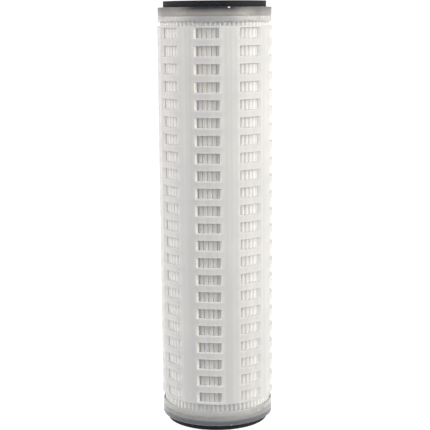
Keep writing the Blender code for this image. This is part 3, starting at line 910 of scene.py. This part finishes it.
def sideSeam(material, tree):
    # a welded strip that wanders with the fold it lies in, with the sealing tool's small dents
    look, levels = seamShape, pleatShape["levels"]
    low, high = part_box("side_seam")
    turn = seamGap()
    direction = Vector((math.sin(turn), -math.cos(turn), 0.0))
    aside = Vector((math.cos(turn), math.sin(turn), 0.0))
    inner, outer = min(abs(low.y), abs(high.y)), max(abs(low.y), abs(high.y))
    columns = list(range(look["across"] + 1))
    outline = [(step, 0.5) for step in columns] + [(step, -0.5) for step in reversed(columns)]
    strip = bmesh.new()
    rows = []
    for level in range(levels + 1):
        up = Vector((0.0, 0.0, low.z + (high.z - low.z) * level / levels))
        rows.append([])
        for step, side in outline:
            out = inner + (outer - inner) * step / look["across"]
            rows[-1].append(strip.verts.new(direction * out + aside * side * look["thickness"] + up))
    joinRows(strip, rows, True)
    strip.faces.new(rows[0][::-1])
    strip.faces.new(rows[-1])
    bmesh.ops.recalc_face_normals(strip, faces=strip.faces)
    values = dict(pleatValues(material), **{"Pleats": 1, "First Tip": 0.0, "Seam Room": 0.0})
    mesh = runTree("side_seam", toMesh(strip, "side_seamStrip"), tree, values)
    dented = bmesh.new()
    dented.from_mesh(mesh)
    rowHeight = (high.z - low.z) / levels / (look["cuts"] + 1)
    upright = [e for e in dented.edges if abs(e.verts[0].co.z - e.verts[1].co.z) > rowHeight]
    bmesh.ops.subdivide_edges(dented, edges=upright, cuts=look["cuts"], use_grid_fill=True)
    dented.normal_update()
    for vert in dented.verts:
        row = round((vert.co.z - low.z) / rowHeight)
        column = round((vert.co.xy.length - inner) / (outer - inner) * look["across"])
        if (row + column) % 2 and 0 < column < look["across"] and 0 < row < levels * (look["cuts"] + 1):
            vert.co -= vert.normal * look["dent"]
    dented.to_mesh(mesh)
    dented.free()
    return addPiece("side_seam", mesh, "side_seam")


# studio: pale floor, a warm light to each side, cool fill from the room
# a light's values: name, degrees round from the front, distance, height, size, watts, colour

studio = {
    "floorSize": 40.0, "floor": (0.90, 0.90, 0.90), "glow": 0.74, "ceilingLight": 0.88,
    "underLight": 0.34, "frontShare": 0.58, "backShare": 1.1, "roomColour": (0.86, 0.925, 1.0),
    "floorTint": (0.92, 0.92, 0.92), "floorGrain": 30.0, "floorRough": 0.8, "floorDrop": 0.2 * mm,
    "backdrop": 1.1, "aimHeight": 0.127,
    "lights": [
        ("rightPanel", 62.0, 1.0, 0.50, (0.7, 1.1), 11.4, (1.0, 0.915, 0.80)),
        ("leftPanel", -74.0, 1.0, 0.50, (0.7, 1.1), 7.9, (1.0, 0.895, 0.775)),
    ],
}


def buildStudio(look):
    mesh = bpy.data.meshes.new("floor")
    half = look["floorSize"] / 2
    corners = [(-half, -half, 0), (half, -half, 0), (half, half, 0), (-half, half, 0)]
    mesh.from_pydata(corners, [], [(0, 1, 2, 3)])
    material, tree, shader = newMaterial("paleFloor")
    grain = cloud(tree, objectCoords(tree), look["floorGrain"])
    tree.links.new(blendColours(tree, grain, look["floor"], look["floorTint"]), shader.inputs["Base Color"])
    shader.inputs["Roughness"].default_value = look["floorRough"]
    shader.inputs["Emission Color"].default_value = (1.0, 1.0, 1.0, 1.0)
    shader.inputs["Emission Strength"].default_value = look["glow"]
    mesh.materials.append(material)
    floor = bpy.data.objects.new("floor", mesh)
    floor.location.z = -look["floorDrop"]
    floor.visible_diffuse = False
    bpy.context.scene.collection.objects.link(floor)
    world = bpy.data.worlds.new("whiteRoom")
    world.use_nodes = True
    bpy.context.scene.world = world
    tree = world.node_tree
    shown = tree.nodes["Background"]
    shown.inputs["Color"].default_value = (1.0, 1.0, 1.0, 1.0)
    shown.inputs["Strength"].default_value = look["backdrop"]
    toward = apart(tree, put(tree, "ShaderNodeTexCoord").outputs["Generated"])
    upLight = spread(tree, toward["Z"], -1.0, 1.0, look["underLight"], look["ceilingLight"])
    backLight = spread(tree, toward["Y"], -1.0, 0.2, look["frontShare"], look["backShare"])
    strength = calc(tree, "MULTIPLY", upLight, backLight)
    lit = put(tree, "ShaderNodeBackground", {"Color": (*look["roomColour"], 1.0), "Strength": strength})
    seen = put(tree, "ShaderNodeLightPath").outputs["Is Camera Ray"]
    mixed = put(tree, "ShaderNodeMixShader", {0: seen, 1: lit.outputs[0], 2: shown.outputs[0]})
    tree.links.new(mixed.outputs[0], tree.nodes["World Output"].inputs["Surface"])
    for name, azimuth, distance, height, size, watts, colour in look["lights"]:
        data = bpy.data.lights.new(name, "AREA")
        data.shape = "RECTANGLE"
        data.size, data.size_y = size
        data.energy = watts
        data.color = colour
        lamp = bpy.data.objects.new(name, data)
        angle = math.radians(azimuth)
        lamp.location = (distance * math.sin(angle), -distance * math.cos(angle), height)
        toMiddle = Vector((0.0, 0.0, look["aimHeight"])) - lamp.location
        lamp.rotation_euler = toMiddle.to_track_quat("-Z", "Y").to_euler()
        bpy.context.scene.collection.objects.link(lamp)


cameraPlace = {
    "distance": 0.7082, "height": 0.2434, "aside": -0.0007, "tilt": 9.42, "roll": -0.46,
    "lens": 98.8,
}


def buildCamera(look):
    data = bpy.data.cameras.new("camera")
    data.lens = look["lens"]
    data.sensor_width = 36.0
    data.clip_start = 0.01
    camera = bpy.data.objects.new("camera", data)
    camera.location = (look["aside"], -look["distance"], look["height"])
    aim = Euler((math.radians(90 - look["tilt"]), 0.0, 0.0)).to_matrix()
    roll = Euler((0.0, 0.0, math.radians(look["roll"]))).to_matrix()
    camera.rotation_euler = (aim @ roll).to_euler()
    bpy.context.scene.collection.objects.link(camera)
    bpy.context.scene.camera = camera


def buildCartridge():
    cagePlastic = milkyPlastic("cagePlastic", cageLook)
    topPlastic = milkyPlastic("topCapPlastic", topCapLook)
    bottomPlastic = milkyPlastic("bottomCapPlastic", bottomCapLook)
    topFlash = milkyPlastic("topWeldFlash", flashLook)
    bottomFlash = milkyPlastic("bottomWeldFlash", shadedBottomFlashLook)
    corePlastic = milkyPlastic("corePlastic", coreLook)
    tipRadius = cageInside() - pleatShape["tipClearance"]
    supportFleece = fleeceFabric("supportFleece", fleeceLook, tipRadius)
    mediaSheet = fleeceFabric("mediaSheet", mediaLook, tipRadius)
    drainFleece = fleeceFabric("drainFleece", drainLook, 0.0)
    foam = foamRubber("foamRubber", foamLook)
    print("materials done")
    tubeTree = rolledTubeTree()
    punchedTube("outer_cage", cageShape, cagePlastic, tubeTree)
    punchedTube("inner_core", coreShape, corePlastic, tubeTree)
    print("cage and core done")
    foldTree = pleatedTree()
    pleatedLayer("upstream_support", 1, supportFleece, foldTree)
    pleatedLayer("filter_media", 0, mediaSheet, foldTree)
    pleatedLayer("downstream_support", -1, drainFleece, foldTree)
    sideSeam(corePlastic, foldTree)
    print("pleat pack done")
    endCap("top_end_cap", 2.0, topPlastic, topFlash)
    endCap("bottom_end_cap", 7.0, bottomPlastic, bottomFlash)
    gasket("top_gasket", 1.0, foam)
    gasket("bottom_gasket", 4.0, foam)
    print("end caps and gaskets done")


bpy.context.scene.view_settings.view_transform = "Standard"
buildCartridge()
buildStudio(studio)
buildCamera(cameraPlace)
bpy.context.view_layer.update()
print("studio and camera done")
